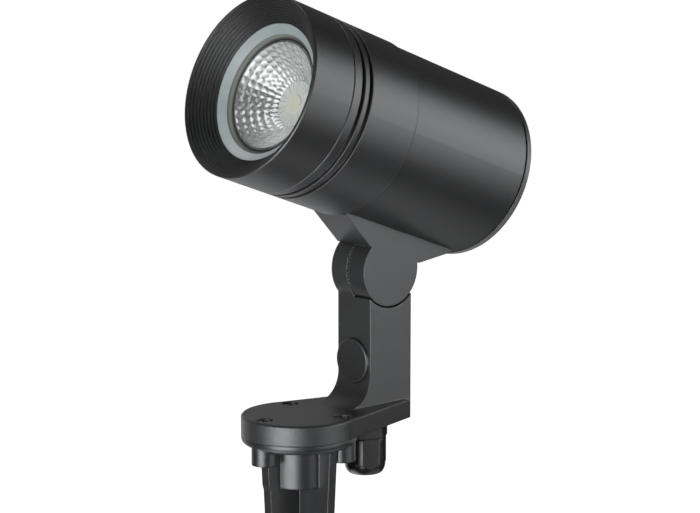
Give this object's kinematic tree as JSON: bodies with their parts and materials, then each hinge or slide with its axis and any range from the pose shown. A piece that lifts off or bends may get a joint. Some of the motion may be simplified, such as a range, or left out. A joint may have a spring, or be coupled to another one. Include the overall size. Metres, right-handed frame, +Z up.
{
  "type": "garden spotlight on an earth spike",
  "caption": "Round garden spotlight head with a recessed lens, tilting on a toothed knuckle above a cast stem and base with a cable gland, screwed to a bladed earth spike.",
  "frame": {"origin": "on the spike's axis, at the plane where the base plate sits on the spike's flange", "axes": "+Z up, -Y the way the lamp shines when level, +X to the lamp's left side as seen from behind it"},
  "size_m": [0.088, 0.1711, 0.4142],
  "materials": {
    "coat": "satin anthracite powder coat on die-cast aluminium",
    "bezel_coat": "matt black powder coat on turned aluminium",
    "spike_plastic": "glossy black moulded plastic",
    "gland_plastic": "black moulded plastic",
    "black_plastic": "matt black",
    "rubber": "matt black rubber",
    "silicone": "translucent pale grey silicone",
    "glass": "clear toughened glass",
    "reflector": "vacuum-metallised, dimpled",
    "led_board": "white solder mask",
    "phosphor": "yellow phosphor gel",
    "steel": "stainless steel",
    "brass": "turned brass",
    "plate": "milled aluminium",
    "circuit_board": "green solder mask",
    "transformer": "yellow tape over ferrite",
    "capacitor": "shrink sleeve",
    "connector": "off-white nylon",
    "wire": "silicone insulation"
  },
  "bodies": {
    "stake": {"spike": "spike_plastic", "base_screws": "steel", "base_bracket": "coat", "access_plug": "coat", "plug_oring": "rubber", "terminal_block": "connector", "terminal_screws": "brass", "gland_body": "gland_plastic", "gland_oring": "rubber", "knuckle_seal": "rubber"},
    "gland_seal": {"gland_insert": "rubber"},
    "gland_cap": {"gland_nut": "gland_plastic"},
    "knuckle_washer": {"clamp_washer": "steel"},
    "knuckle_screw": {"clamp_screw": "steel"},
    "head": {"rear_housing": "coat", "thread_insert": "brass", "end_cap": "coat", "end_cap_gasket": "rubber", "end_cap_screws": "steel", "driver_board": "circuit_board", "driver_screws": "steel", "driver_transformer": "transformer", "driver_capacitors": "capacitor", "driver_connector": "connector", "led_wires": "wire", "front_housing": "coat", "housing_oring": "rubber", "heat_plate": "plate", "heat_plate_screws": "steel", "led_board": "led_board", "led_phosphor": "phosphor", "led_holder": "black_plastic", "led_holder_screws": "steel", "reflector": "reflector", "reflector_carrier": "black_plastic"},
    "lens": {"lens_glass": "glass", "lens_seal": "silicone"},
    "bezel_ring": {"bezel": "bezel_coat"}
  },
  "joints": [
    {"name": "head_tilt", "type": "hinge", "parent": "stake", "child": "head", "pos_m": [0, 0.0491, 0.0751], "axis": [-1, 0, 0], "range_deg": [-60, 42]},
    {"name": "lens_feed", "type": "slide", "parent": "head", "child": "lens", "axis": [0, -0.9426, 0.3338], "range_m": [0, 0.0045]},
    {"name": "bezel_turn", "type": "hinge", "parent": "lens", "child": "bezel_ring", "pos_m": [0, -0.0182, 0.16365], "axis": [0, -0.9426, 0.3338], "range_deg": [0, 1080]},
    {"name": "gland_feed", "type": "slide", "parent": "stake", "child": "gland_seal", "axis": [0, 0, -1], "range_m": [0, 0.003]},
    {"name": "gland_turn", "type": "hinge", "parent": "gland_seal", "child": "gland_cap", "pos_m": [0, 0.0428, -0.017], "axis": [0, 0, -1], "range_deg": [0, 750]},
    {"name": "clamp_feed", "type": "slide", "parent": "stake", "child": "knuckle_washer", "axis": [-1, 0, 0], "range_m": [0, 0.002]},
    {"name": "clamp_turn", "type": "hinge", "parent": "knuckle_washer", "child": "knuckle_screw", "pos_m": [0, 0.0491, 0.0751], "axis": [-1, 0, 0], "range_deg": [0, 750]}
  ],
  "couplings": [
    {"joint": "lens_feed", "follows": "bezel_turn", "m_per_rad": 0.00023873},
    {"joint": "gland_turn", "follows": "gland_feed", "rad_per_m": 4188.8},
    {"joint": "clamp_turn", "follows": "clamp_feed", "rad_per_m": 6283.2}
  ]
}
